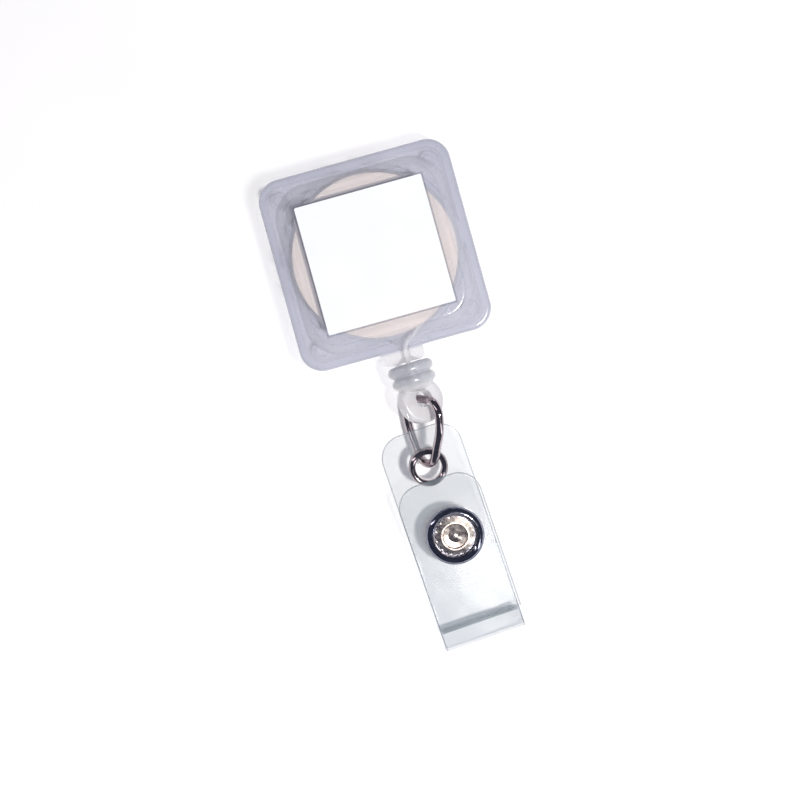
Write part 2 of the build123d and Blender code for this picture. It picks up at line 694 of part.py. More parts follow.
# ---- snap: centre rivet with crimped petals, inner bowl and cone -----------------------
petal_tip = seat + PETAL_RISE + SOCKET_WALL
with BuildPart() as snap_rivet:
    with BuildSketch(upright(snap_plane)):
        with BuildLine():
            Polyline(
                (0, flap_under - SOCKET_WALL),
                (SNAP_SHANK_R, flap_under - SOCKET_WALL),
                (SNAP_SHANK_R, seat),
                (PETAL_OUT, seat),
                (PETAL_OUT, seat + SNAP_EDGE),
                (PETAL_IN, seat + PETAL_RISE),
                (PETAL_IN, petal_tip),
                (PETAL_IN - SOCKET_WALL, petal_tip),
                (BOWL_R, seat + 2 * SNAP_EDGE),
                (BOWL_FLOOR_R, seat + SNAP_EDGE),
                (CONE_R, seat + CONE_RISE),
                (0, seat + CONE_RISE + SNAP_EDGE / 3),
                close=True,
            )
        make_face()
    revolve(axis=axis_of(snap_plane))
    with BuildSketch(snap_plane.offset(seat + WASHER_FIT)):
        with PolarLocations(PETAL_OUT + 2 * FIT, PETALS):
            RegularPolygon(PETAL_NOTCH, 3, rotation=180)
    extrude(amount=PETAL_RISE + SNAP_EDGE, mode=Mode.SUBTRACT)
snap_rivet.part.label = "snap_rivet"
export_step(snap_rivet.part, "parts/snap_rivet.step")

# ---- snap: socket cup under the flap ---------------------------------------------------
socket_mouth = flap_under - SOCKET_DROP
with BuildPart() as snap_socket:
    with BuildSketch(upright(snap_plane)):
        with BuildLine():
            Polyline(
                (SNAP_SHANK_R + FIT, flap_under),
                (SOCKET_R - SOCKET_WALL, flap_under),
                (SOCKET_R, flap_under - SOCKET_WALL),
                (SOCKET_R - SOCKET_WALL / 2, flap_under - 2 * SOCKET_WALL),
                (SOCKET_ROOM_R + SOCKET_SKIRT, socket_mouth + SOCKET_LIP),
                (SOCKET_ROOM_R + SOCKET_LIP, socket_mouth),
                (SOCKET_MOUTH_R, socket_mouth),
                (SOCKET_MOUTH_R, socket_mouth + SOCKET_WALL),
                (SOCKET_ROOM_R, socket_mouth + SOCKET_WALL),
                (SOCKET_ROOM_R, flap_under - SOCKET_WALL),
                (SNAP_SHANK_R + FIT, flap_under - SOCKET_WALL),
                close=True,
            )
        make_face()
    revolve(axis=axis_of(snap_plane))
snap_socket.part.label = "snap_socket"
export_step(snap_socket.part, "parts/snap_socket.step")

# ---- snap: split spring ring held in the socket ----------------------------------------
spring_level = (socket_mouth + flap_under) / 2
with BuildPart() as snap_spring:
    with BuildSketch(upright(snap_plane)):
        with Locations((SOCKET_ROOM_R - 2 * SPRING_WIRE_R, spring_level)):
            Circle(SPRING_WIRE_R)
    revolve(axis=axis_of(snap_plane), revolution_arc=SPRING_ARC)
snap_spring.part.label = "snap_spring"
export_step(snap_spring.part, "parts/snap_spring.step")

# ---- snap: stud on the back strip ------------------------------------------------------
with BuildPart() as snap_stud:
    with BuildSketch(upright(snap_plane)):
        with BuildLine():
            foot = Polyline(
                (0, half_strap),
                (STUD_FLANGE_R, half_strap),
                (STUD_FLANGE_R, half_strap + STUD_BASE - SOCKET_LIP),
                (STUD_FLANGE_R - SOCKET_LIP, half_strap + STUD_BASE),
                (STUD_NECK_R, half_strap + STUD_BASE),
                (STUD_NECK_R, half_strap + STUD_NECK_FROM),
            )
            bulge = RadiusArc(foot @ 1, (STUD_NECK_R, half_strap + STUD_RISE), -STUD_BULGE_R)
            Polyline(bulge @ 1, (0, half_strap + STUD_RISE), foot @ 0)
        make_face()
    revolve(axis=axis_of(snap_plane))
    with BuildSketch(snap_plane.offset(half_strap)):
        Circle(STUD_HOLE_R)
    extrude(amount=STUD_HOLE_DEPTH, mode=Mode.SUBTRACT)
snap_stud.part.label = "snap_stud"
export_step(snap_stud.part, "parts/snap_stud.step")

# ---- snap: rivet that holds the stud from behind the back strip ------------------------
with BuildPart() as snap_stud_rivet:
    with BuildSketch(upright(snap_plane)):
        with BuildLine():
            stem = Polyline(
                (0, half_strap + STUD_HOLE_DEPTH - FIT),
                (STUD_HOLE_R, half_strap + STUD_HOLE_DEPTH - FIT),
                (STUD_HOLE_R, half_strap),
                (SNAP_SHANK_R, half_strap),
                (SNAP_SHANK_R, -half_strap),
                (SOCKET_R, -half_strap),
                (SOCKET_R, -half_strap - SOCKET_WALL),
            )
            dome_top = (0, -half_strap - SOCKET_WALL - STUD_DOME)
            dome = RadiusArc(stem @ 1, dome_top, dome_radius(SOCKET_R, STUD_DOME))
            Line(dome @ 1, stem @ 0)
        make_face()
    revolve(axis=axis_of(snap_plane))
snap_stud_rivet.part.label = "snap_stud_rivet"
export_step(snap_stud_rivet.part, "parts/snap_stud_rivet.step")

# ---- belt clip: one bent strip ---------------------------------------------------------
clip_mid_low = CLIP_THICK / 2
clip_mid_high = CASE_BACK - CLIP_THICK / 2
clip_bend_r = (clip_mid_high - clip_mid_low) / 2 - BEND_EASE
with BuildPart() as belt_clip:
    with BuildSketch(Plane.YZ.offset(-CLIP_WIDTH / 2)):
        with BuildLine() as clip_path:
            FilletPolyline(
                (CLIP_TAIL, clip_mid_high),
                (CLIP_TOP, clip_mid_high),
                (CLIP_TOP, clip_mid_low),
                (CLIP_NIP_FROM, clip_mid_low),
                (CLIP_NIP_AT, clip_mid_low + CLIP_NIP_RISE),
                (CLIP_TIP, clip_mid_low),
                radius=(clip_bend_r, clip_bend_r, CLIP_NIP_R, CLIP_TIP_R),
            )
        trace(clip_path.line, line_width=CLIP_THICK)
    extrude(amount=CLIP_WIDTH)
    with BuildSketch(Plane.XY.offset(clip_mid_high - CLIP_THICK)):
        Circle(RIVET_SHANK_R + FIT)
    extrude(amount=2 * CLIP_THICK, mode=Mode.SUBTRACT)
belt_clip.part.label = "belt_clip"
export_step(belt_clip.part, "parts/belt_clip.step")

# ---- clip rivet ------------------------------------------------------------------------
rivet_seat = CASE_BACK - CLIP_THICK
with BuildPart() as clip_rivet:
    with BuildSketch(Plane.XZ):
        with BuildLine():
            head = Polyline(
                (0, RIVET_FLARE_TOP),
                (RIVET_SHANK_R + RIVET_FLARE, RIVET_FLARE_TOP),
                (RIVET_SHANK_R + RIVET_FLARE, RIVET_FLARE_TOP - RIVET_FLARE_THICK),
                (RIVET_SHANK_R, RIVET_FLARE_TOP - RIVET_FLARE_THICK - RIVET_CONE),
                (RIVET_SHANK_R, rivet_seat),
                (RIVET_HEAD_R, rivet_seat),
                (RIVET_HEAD_R, rivet_seat - RIVET_HEAD_THICK),
            )
            dome_top = (0, rivet_seat - RIVET_HEAD_THICK - RIVET_CROWN)
            dome = RadiusArc(head @ 1, dome_top, dome_radius(RIVET_HEAD_R, RIVET_CROWN))
            Line(dome @ 1, head @ 0)
        make_face()
    revolve(axis=Axis.Z)
clip_rivet.part.label = "clip_rivet"
export_step(clip_rivet.part, "parts/clip_rivet.step")

# ---- washer under the rivet's flare ----------------------------------------------------
with BuildPart() as rivet_washer:
    with BuildSketch(Plane.XY.offset(RIVET_WELL_FLOOR)):
        Circle(RIVET_WELL_R - FIT)
        Circle(RIVET_SHANK_R + WASHER_FIT, mode=Mode.SUBTRACT)
    extrude(amount=WASHER_THICK)
rivet_washer.part.label = "rivet_washer"
export_step(rivet_washer.part, "parts/rivet_washer.step")
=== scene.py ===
import math

import bmesh
import bpy
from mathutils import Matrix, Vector


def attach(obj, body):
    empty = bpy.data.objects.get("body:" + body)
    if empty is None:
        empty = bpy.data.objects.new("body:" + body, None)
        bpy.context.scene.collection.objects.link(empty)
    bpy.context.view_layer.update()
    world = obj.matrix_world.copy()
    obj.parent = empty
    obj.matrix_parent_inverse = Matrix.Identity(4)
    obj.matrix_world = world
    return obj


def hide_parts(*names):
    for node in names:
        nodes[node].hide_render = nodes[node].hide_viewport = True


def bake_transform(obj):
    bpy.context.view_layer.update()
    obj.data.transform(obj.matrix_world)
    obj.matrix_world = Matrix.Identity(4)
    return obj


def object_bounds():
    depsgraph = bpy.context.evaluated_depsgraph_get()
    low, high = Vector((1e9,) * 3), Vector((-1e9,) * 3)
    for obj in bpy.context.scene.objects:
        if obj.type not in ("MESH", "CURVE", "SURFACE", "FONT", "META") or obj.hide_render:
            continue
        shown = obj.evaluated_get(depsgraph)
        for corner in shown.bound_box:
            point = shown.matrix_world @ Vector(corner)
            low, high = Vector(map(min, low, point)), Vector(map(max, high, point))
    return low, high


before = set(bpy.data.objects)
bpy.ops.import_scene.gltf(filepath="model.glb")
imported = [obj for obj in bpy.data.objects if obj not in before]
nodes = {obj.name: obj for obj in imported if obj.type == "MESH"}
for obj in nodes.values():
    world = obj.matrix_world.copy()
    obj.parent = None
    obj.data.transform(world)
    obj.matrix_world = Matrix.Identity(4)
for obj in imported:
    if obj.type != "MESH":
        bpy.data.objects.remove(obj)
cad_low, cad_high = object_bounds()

MM = 0.001
scene = bpy.context.scene

# ---- camera: straight above, rolled so that the reel hangs to the lower right ------------
VIEW_WIDTH = 137.9 * MM
VIEW_CENTRE = Vector((-2.5 * MM, -25.2 * MM, 8.0 * MM))
VIEW_ROLL = math.radians(-15.5)
LENS = 200.0
SENSOR = 36.0

camera_data = bpy.data.cameras.new("camera")
camera_data.lens = LENS
camera_data.sensor_width = SENSOR
camera_data.clip_start = 0.05
camera_data.clip_end = 10.0
camera = bpy.data.objects.new("camera", camera_data)
scene.collection.objects.link(camera)
camera.location = VIEW_CENTRE + Vector((0, 0, VIEW_WIDTH * LENS / SENSOR))
camera.rotation_euler = (0, 0, VIEW_ROLL)
scene.camera = camera
scene.view_settings.view_transform = "Standard"
scene.view_settings.look = "None"

# ---- lights ------------------------------------------------------------------------------
KEY_FROM = Vector((0.756, -0.655, 0.0))
KEY_ELEVATION = math.radians(72)
KEY_DISTANCE = 0.6


def area_light(name, direction, distance, size, power, colour, size_y=None, aim=(0, -25, 5)):
    """A soft box that shines on a point of the part, given in mm, from a direction."""
    data = bpy.data.lights.new(name, "AREA")
    data.shape = "RECTANGLE" if size_y else "DISK"
    data.size = size
    if size_y:
        data.size_y = size_y
    data.energy = power
    data.color = colour
    lamp = bpy.data.objects.new(name, data)
    scene.collection.objects.link(lamp)
    middle = Vector(aim) * MM
    away = Vector(direction).normalized()
    lamp.location = middle + away * distance
    lamp.rotation_mode = "QUATERNION"
    lamp.rotation_quaternion = away.to_track_quat("Z", "Y")
    return lamp


key_direction = KEY_FROM * math.cos(KEY_ELEVATION) + Vector((0, 0, math.sin(KEY_ELEVATION)))
area_light("key", key_direction, KEY_DISTANCE, 0.06, 3.2, (1.0, 0.985, 0.965))
area_light("side_strip", (-0.75, 0.45, 0.62), 0.55, 0.05, 0.30, (1.0, 0.93, 0.93), 0.35)
area_light("low_strip", (0.55, -0.75, 0.55), 0.5, 0.06, 0.28, (0.97, 0.98, 1.0), 0.30)
area_light(
    "strap_gleam", (0.027, -0.364, 0.930), 0.45, 0.014, 0.010, (1.0, 1.0, 1.0), 0.022, (4.8, -57.2, 5.0)
)

# The room is pale to matt surfaces and deep blue-grey in what the metal mirrors.
world = bpy.data.worlds.new("room")
scene.world = world
world.use_nodes = True
sky = world.node_tree
sky.nodes.clear()
sky_out = sky.nodes.new("ShaderNodeOutputWorld")
sky_pale = sky.nodes.new("ShaderNodeBackground")
sky_pale.inputs["Color"].default_value = (0.80, 0.80, 1.0, 1)
sky_pale.inputs["Strength"].default_value = 0.12
sky_deep = sky.nodes.new("ShaderNodeBackground")
sky_deep.inputs["Color"].default_value = (0.16, 0.18, 0.26, 1)
sky_deep.inputs["Strength"].default_value = 0.40
sky_ray = sky.nodes.new("ShaderNodeLightPath")
sky_mix = sky.nodes.new("ShaderNodeMixShader")
sky.links.new(sky_ray.outputs["Is Glossy Ray"], sky_mix.inputs[0])
sky.links.new(sky_pale.outputs[0], sky_mix.inputs[1])
sky.links.new(sky_deep.outputs[0], sky_mix.inputs[2])
sky.links.new(sky_mix.outputs[0], sky_out.inputs["Surface"])

# ---- material helpers --------------------------------------------------------------------
PLASTIC_IOR = 1.47
EDGE_BLEND = 0.35
# how much denser the painted shade round the label's recess makes the haze
PAINTED_SHADE_DENSER = 0.2


class Shader:
    """A material under construction: its tree, and short ways to add and join nodes."""

    def __init__(self, name):
        self.material = bpy.data.materials.new(name)
        self.material.use_nodes = True
        self.tree = self.material.node_tree
        self.tree.nodes.clear()
        self.out = self.add("ShaderNodeOutputMaterial")
        self.place = self.add("ShaderNodeTexCoord").outputs["Object"]

    def add(self, kind, values=None, **settings):
        made = self.tree.nodes.new(kind)
        for key, value in settings.items():
            setattr(made, key, value)
        for key, value in (values or {}).items():
            if isinstance(value, bpy.types.NodeSocket):
                self.tree.links.new(value, made.inputs[key])
            else:
                made.inputs[key].default_value = value
        return made

    def noise(self, per_mm, detail=3.0, rough=0.5, place=None):
        values = {"Scale": per_mm / MM, "Detail": detail, "Roughness": rough}
        values["Vector"] = place or self.place
        return self.add("ShaderNodeTexNoise", values).outputs["Fac"]

    def stretched(self, x, y, z):
        values = {"Vector": self.place, "Scale": (x, y, z)}
        return self.add("ShaderNodeMapping", values).outputs["Vector"]

    def between(self, source, low, high, from_low=0.3, from_high=0.7):
        values = {
            "Value": source,
            "From Min": from_low,
            "From Max": from_high,
            "To Min": low,
            "To Max": high,
        }
        return self.add("ShaderNodeMapRange", values).outputs["Result"]

    def maths(self, operation, first, second):
        return self.add("ShaderNodeMath", {0: first, 1: second}, operation=operation).outputs[0]

    def colours(self, source, stops):
        ramp = self.add("ShaderNodeValToRGB", {"Fac": source})
        points = ramp.color_ramp.elements
        while len(points) < len(stops):
            points.new(0.5)
        for point, (at, colour) in zip(points, stops):
            point.position = at
            point.color = (*colour, 1.0)
        return ramp.outputs["Color"]

    def bump(self, height, depth_mm, strength=1.0, normal=None):
        values = {"Height": height, "Distance": depth_mm * MM, "Strength": strength}
        if normal is not None:
            values["Normal"] = normal
        return self.add("ShaderNodeBump", values).outputs["Normal"]

    def finish(self, surface):
        self.tree.links.new(surface, self.out.inputs["Surface"])
        return self.material


def polymer(
    name, low, high, roughness, alpha, edge_alpha, gloss, grain_mm, lamp_pass, painted_light_zone=None, painted_shade_line=None
):
    """Frosted or clear plastic: a lit haze over what shows through, under a clear skin.

    Light that the haze scatters goes on inward, so lamps reach further in than sight does.
    With a zone (start, end, colour), parts past a height along Y, in mm, take that paler colour:
    painted light, standing in for the light that comes through more where the plastic is thin.
    With a line (half side, half width, colour), a square outline round the axis is denser and darker:
    painted shade in the gap round the label's recess.
    """
    s = Shader(name)
    cloud = s.noise(0.10, 1.0, 0.4)
    grain = s.noise(1.2, 1.0, 0.4)
    relief = s.bump(grain, grain_mm, 0.5)
    facing = s.add("ShaderNodeLayerWeight", {"Blend": EDGE_BLEND}).outputs["Facing"]
    seen = s.between(facing, alpha, edge_alpha, 0.0, 1.0)
    lamp = s.add("ShaderNodeLightPath").outputs["Is Shadow Ray"]
    lit = s.maths("SUBTRACT", 1.0, s.maths("MULTIPLY", lamp, lamp_pass))
    colour = s.colours(cloud, ((0.3, low), (0.7, high)))
    # Painted light: past a height along Y the colour turns paler, for the extra light that comes
    # through the thin neck and eye.
    if painted_light_zone:
        start, end, painted_light_tone = painted_light_zone
        along = s.add("ShaderNodeSeparateXYZ", {"Vector": s.place}).outputs["Y"]
        painted_light_mask = s.between(along, 0.0, 1.0, start * MM, end * MM)
        mixer = s.add("ShaderNodeMix", {0: painted_light_mask, 6: colour, 7: (*painted_light_tone, 1.0)}, data_type="RGBA")
        colour = mixer.outputs[2]
    # Painted shade: a dark, denser square band round the label's recess, where shade falls in the gap.
    if painted_shade_line:
        half_side, half_width, shade = painted_shade_line
        across, up, _ = s.add("ShaderNodeSeparateXYZ", {"Vector": s.place}).outputs
        reach = s.maths("MAXIMUM", s.maths("ABSOLUTE", across, 0.0), s.maths("ABSOLUTE", up, 0.0))
        outline = s.add(
            "ShaderNodeMath", {0: reach, 1: half_side * MM, 2: half_width * MM}, operation="COMPARE"
        ).outputs[0]
        mixer = s.add("ShaderNodeMix", {0: outline, 6: colour, 7: (*shade, 1.0)}, data_type="RGBA")
        colour = mixer.outputs[2]
        seen = s.maths("ADD", seen, s.maths("MULTIPLY", outline, PAINTED_SHADE_DENSER))
    body = s.add(
        "ShaderNodeBsdfPrincipled",
        {
            "Base Color": colour,
            "Roughness": s.between(grain, roughness * 0.85, roughness * 1.15),
            "IOR": PLASTIC_IOR,
            "Alpha": s.maths("MULTIPLY", seen, lit),
            "Normal": relief,
        },
    )
    front = s.maths("SUBTRACT", 1.0, s.add("ShaderNodeNewGeometry").outputs["Backfacing"])
    mirror = s.add("ShaderNodeFresnel", {"IOR": PLASTIC_IOR, "Normal": relief}).outputs[0]
    skin = s.add(
        "ShaderNodeBsdfGlossy",
        {"Roughness": roughness * gloss, "Normal": relief, "Color": (1, 1, 1, 1)},
    )
    share = s.maths("MULTIPLY", s.maths("MULTIPLY", mirror, front), lit)
    both = s.add("ShaderNodeMixShader", {0: share, 1: body.outputs[0], 2: skin.outputs[0]})
    return s.finish(both.outputs[0])


def metal(name, low, high, roughness, scratch=0.35):
    """Plated metal with a slight orange peel and fine wear."""
    s = Shader(name)
    wear = s.noise(1.3, 5.0, 0.6)
    peel = s.noise(2.5, 2.0, 0.5)
    lines = s.noise(9.0, 2.0, 0.5, s.stretched(1.0, 0.08, 1.0))
    relief = s.bump(lines, 0.002, scratch, s.bump(peel, 0.012, 0.5))
    body = s.add(
        "ShaderNodeBsdfPrincipled",
        {
            "Base Color": s.colours(wear, ((0.35, low), (0.65, high))),
            "Metallic": 1.0,
            "Roughness": s.between(wear, roughness * 0.75, roughness * 1.5),
            "Normal": relief,
        },
    )
    return s.finish(body.outputs[0])


def moulded(name, low, high, roughness):
    """Matt moulded plastic."""
    s = Shader(name)
    cloud = s.noise(0.25, 4.0, 0.5)
    grain = s.noise(7.0, 2.0, 0.6)
    body = s.add(
        "ShaderNodeBsdfPrincipled",
        {
            "Base Color": s.colours(cloud, ((0.3, low), (0.7, high))),
            "Roughness": s.between(grain, roughness * 0.9, roughness * 1.1),
            "Normal": s.bump(grain, 0.008, 0.6),
        },
    )
    return s.finish(body.outputs[0])


def paper():
    """Smooth label stock with a faint tooth."""
    s = Shader("label_paper")
    fibre = s.noise(5.0, 4.0, 0.65)
    cloud = s.noise(0.12, 3.0, 0.5)
    body = s.add(
        "ShaderNodeBsdfPrincipled",
        {
            "Base Color": s.colours(cloud, ((0.3, (0.90, 0.935, 0.965)), (0.7, (0.945, 0.965, 0.985)))),
            "Roughness": s.between(fibre, 0.5, 0.62),
            "Normal": s.bump(fibre, 0.006, 0.5),
        },
    )
    return s.finish(body.outputs[0])


def braid():
    """Fine braided nylon, its strands crossing at about 0.25 mm."""
    s = Shader("cord_braid")
    weave = s.add(
        "ShaderNodeTexWave",
        {"Scale": 1100.0, "Distortion": 1.5, "Detail": 1.0, "Vector": s.place},
        wave_type="BANDS",
        bands_direction="DIAGONAL",
    ).outputs["Fac"]
    fuzz = s.noise(14.0, 3.0, 0.6)
    body = s.add(
        "ShaderNodeBsdfPrincipled",
        {
            "Base Color": s.colours(weave, ((0.2, (0.60, 0.61, 0.64)), (0.8, (0.86, 0.87, 0.88)))),
            "Roughness": s.between(fuzz, 0.55, 0.75),
            "Sheen Weight": 0.3,
            "Normal": s.bump(weave, 0.05, 0.8, s.bump(fuzz, 0.01, 0.5)),
        },
    )
    return s.finish(body.outputs[0])


# Painted shade round the label's recess: half side and half width in mm, and the dark colour.
RECESS_PAINTED_SHADE = (11.5, 0.13, (0.27, 0.28, 0.35))
# Painted light on the case neck and on the fitting's eye: start and end along Y in mm, and the paler
# colour.
NECK_PAINTED_LIGHT = (-16.8, -17.4, (0.74, 0.735, 0.755))
EYE_PAINTED_LIGHT = (-22.9, -24.2, (0.74, 0.73, 0.75))
shell = polymer(
    "frosted_shell", (0.51, 0.52, 0.60), (0.56, 0.565, 0.64),
    0.30, 0.33, 0.74, 0.6, 0.002, 0.88, NECK_PAINTED_LIGHT, RECESS_PAINTED_SHADE,
)
back_shell = polymer(
    "frosted_back", (0.43, 0.445, 0.54), (0.47, 0.485, 0.575),
    0.32, 0.78, 0.90, 0.6, 0.002, 0.88, NECK_PAINTED_LIGHT,
)
fitting = polymer(
    "frosted_fitting", (0.43, 0.44, 0.50), (0.52, 0.53, 0.58),
    0.32, 0.64, 0.90, 0.6, 0.002, 0.75, EYE_PAINTED_LIGHT,
)
vinyl = polymer(
    "clear_vinyl", (0.36, 0.42, 0.47), (0.44, 0.50, 0.56),
    0.14, 0.145, 0.38, 0.5, 0.0006, 0.72,
)
# Darker copy of the vinyl for the rims and cut edges: painted shade for the darkness clear sheet shows
# along its edges.
vinyl_rim_painted_shade = polymer(
    "vinyl_rim_painted_shade", (0.22, 0.26, 0.31), (0.30, 0.34, 0.40),
    0.14, 0.36, 0.80, 0.6, 0.0006, 0.70,
)
label_paper = paper()
spool_plastic = moulded("spool_plastic", (0.90, 0.76, 0.65), (0.93, 0.81, 0.72), 0.5)
spring_steel = metal("spring_steel", (0.25, 0.28, 0.36), (0.38, 0.41, 0.50), 0.3)
clip_nickel = metal("clip_nickel", (0.58, 0.58, 0.60), (0.76, 0.76, 0.77), 0.26)
# Chrome with its colour darkened and tinted: partly the metal, partly a painted reflection of a dark
# room, on the link and eyelet.
dark_chrome = metal("dark_chrome", (0.36, 0.31, 0.33), (0.54, 0.47, 0.49), 0.10, 0.15)
# Chrome darkened and tinted blue-grey: partly the metal, partly a painted reflection of a dark navy
# room, on the snap cap and stud.
cap_chrome_painted_reflection = metal("cap_chrome_painted_reflection", (0.24, 0.25, 0.32), (0.38, 0.39, 0.46), 0.09, 0.12)
warm_nickel = metal("warm_nickel", (0.68, 0.58, 0.52), (0.86, 0.77, 0.70), 0.26, 0.4)
cord_braid = braid()

WEARS = {
    shell: ["front_cover"],
    back_shell: ["rear_cover"],
    fitting: ["cord_end"],
    vinyl: ["strap_back", "strap_flap"],
    label_paper: ["label"],
    spool_plastic: ["spool"],
    spring_steel: ["power_spring"],
    clip_nickel: ["belt_clip", "clip_rivet", "rivet_washer"],
    dark_chrome: ["link_ring", "eyelet", "eyelet_washer"],
    cap_chrome_painted_reflection: ["snap_cap", "snap_stud"],
    warm_nickel: ["snap_rivet", "snap_socket", "snap_stud_rivet", "snap_spring"],
    cord_braid: ["cord_winding", "cord_guide_run", "cord_lead", "cord_knot"],
}
for material, names in WEARS.items():
    for name in names:
        mesh = nodes[name].data
        mesh.materials.clear()
        mesh.materials.append(material)

# ---- soft pieces: shared helpers ---------------------------------------------------------
def add_mesh(name, bm, material):
    """Turn a bmesh into a smooth-shaded object."""
    bmesh.ops.recalc_face_normals(bm, faces=bm.faces)
    mesh = bpy.data.meshes.new(name)
    bm.to_mesh(mesh)
    bm.free()
    mesh.shade_smooth()
    mesh.materials.append(material)
    made = bpy.data.objects.new(name, mesh)
    scene.collection.objects.link(made)
    return made


def cut_across(bm, co, normal, cap=False):
    """Add edges along a plane; with cap, the far side goes and the cut is closed."""
    geometry = bm.verts[:] + bm.edges[:] + bm.faces[:]
    cut = bmesh.ops.bisect_plane(
        bm, geom=geometry, dist=1e-8, plane_co=co, plane_no=normal, clear_outer=cap
    )
    if cap:
        rim = [e for e in cut["geom_cut"] if isinstance(e, bmesh.types.BMEdge)]
        bmesh.ops.triangle_fill(bm, edges=rim, use_beauty=True)


def arc(centre, radius, first, last, steps):
    """Points along an arc, angles in degrees."""
    return [
        (
            centre[0] + radius * math.cos(math.radians(first + (last - first) * k / steps)),
            centre[1] + radius * math.sin(math.radians(first + (last - first) * k / steps)),
        )
        for k in range(steps + 1)
    ]


def hole(centre, radius, sides):
    """Closed round of points, the first not repeated."""
    return arc(centre, radius, 0, 360 - 360 / sides, sides - 1)


# ---- strap: one sheet folded at the bottom, parted at the crease -------------------------
STRAP_EYE = Vector((-0.85, -37.65, 5.5))
STRAP_YAW = math.radians(3.5)
STRAP_SLOPE = math.radians(9.5)
HALF_SHEET = 0.25
RIM_ROUND = 0.2
STRAP_LEFT = -7.4
BACK_WIDTH = 14.45
FLAP_WIDTH = 14.85
BACK_TOP = 6.9
FLAP_TOP = -1.95
CORNER = 4.2
CORNER_STEPS = 14
FLAP_LIFT = 2.4
CREASE_AT = -27.8
BOW_R = 6.0
BOW_TURN = math.radians(36)
HEM_R = (FLAP_LIFT - BOW_R * (1 - math.cos(BOW_TURN))) / (1 + math.cos(BOW_TURN))
HEM_AT = CREASE_AT - (BOW_R - HEM_R) * math.sin(BOW_TURN)
HEM_LENGTH = HEM_R * (math.pi - BOW_TURN)
BOW_LENGTH = BOW_R * BOW_TURN
EYELET_BORE = 2.55
SNAP_BORE = 1.35
SNAP_AT = (0.5, -12.4)
WAVE_MM = 0.012
FIRST_CUT = 0.9
LAST_CUT = 0.05
SIDE_CUTS = 6
SIDE_STEP = 1.1
SIDE_SHIFT = 0.03
OVERRUN = 1.0
NEAR_HEM = 0.1
FLAT_STEP = 1.0
HEM_STEP = 0.09
BOW_STEP = 0.3
CALM_EYELET_R = 3.8
CALM_SNAP_R = 5.4
CALM_FADE = 3.0
HEM_FADE = 2.0
FLAT_NORMAL = 0.99

strap_x = Vector((math.cos(STRAP_YAW), math.sin(STRAP_YAW), 0.0))
strap_z = Vector(
    (
        math.sin(STRAP_YAW) * math.sin(STRAP_SLOPE),
        -math.cos(STRAP_YAW) * math.sin(STRAP_SLOPE),
        math.cos(STRAP_SLOPE),
    )
)
strap_y = strap_z.cross(strap_x)


def strap_point(u, v, w):
    """Row-frame point in metres from the strap's across, along and lift in mm."""
    return (STRAP_EYE + strap_x * u + strap_y * v + strap_z * w) * MM


def folded(along, depth):
    """Along and lift of a point on the back sheet, which runs down, round the hem and back up."""
    past = HEM_AT - along
    if past <= 0:
        return along, depth
    if past <= HEM_LENGTH:
        angle = math.radians(270) - past / HEM_R
        reach = HEM_R - depth
        return HEM_AT + reach * math.cos(angle), HEM_R + reach * math.sin(angle)
    angle = math.pi / 2 + BOW_TURN - (past - HEM_LENGTH) / BOW_R
    reach = BOW_R - depth
    return CREASE_AT + reach * math.cos(angle), FLAP_LIFT - BOW_R + reach * math.sin(angle)


def raised(along, depth):
    """Along and lift of a point on the flap."""
    return along, FLAP_LIFT - depth


def waviness(u, along):
    """Slow unevenness of soft sheet in mm, calm at the fittings and the hem."""
    from_eyelet = math.hypot(u, along)
    from_snap = math.hypot(u - SNAP_AT[0], along - SNAP_AT[1])
    calm = min(
        1.0,
        max(0.0, from_eyelet - CALM_EYELET_R) / CALM_FADE,
        max(0.0, from_snap - CALM_SNAP_R) / CALM_FADE,
    )
    calm *= min(1.0, max(0.0, along - HEM_AT) / HEM_FADE)
    return WAVE_MM * calm * (
        math.sin(0.31 * along + 0.5 * u) + 0.6 * math.sin(0.73 * along - 0.35 * u + 1.0)
    )


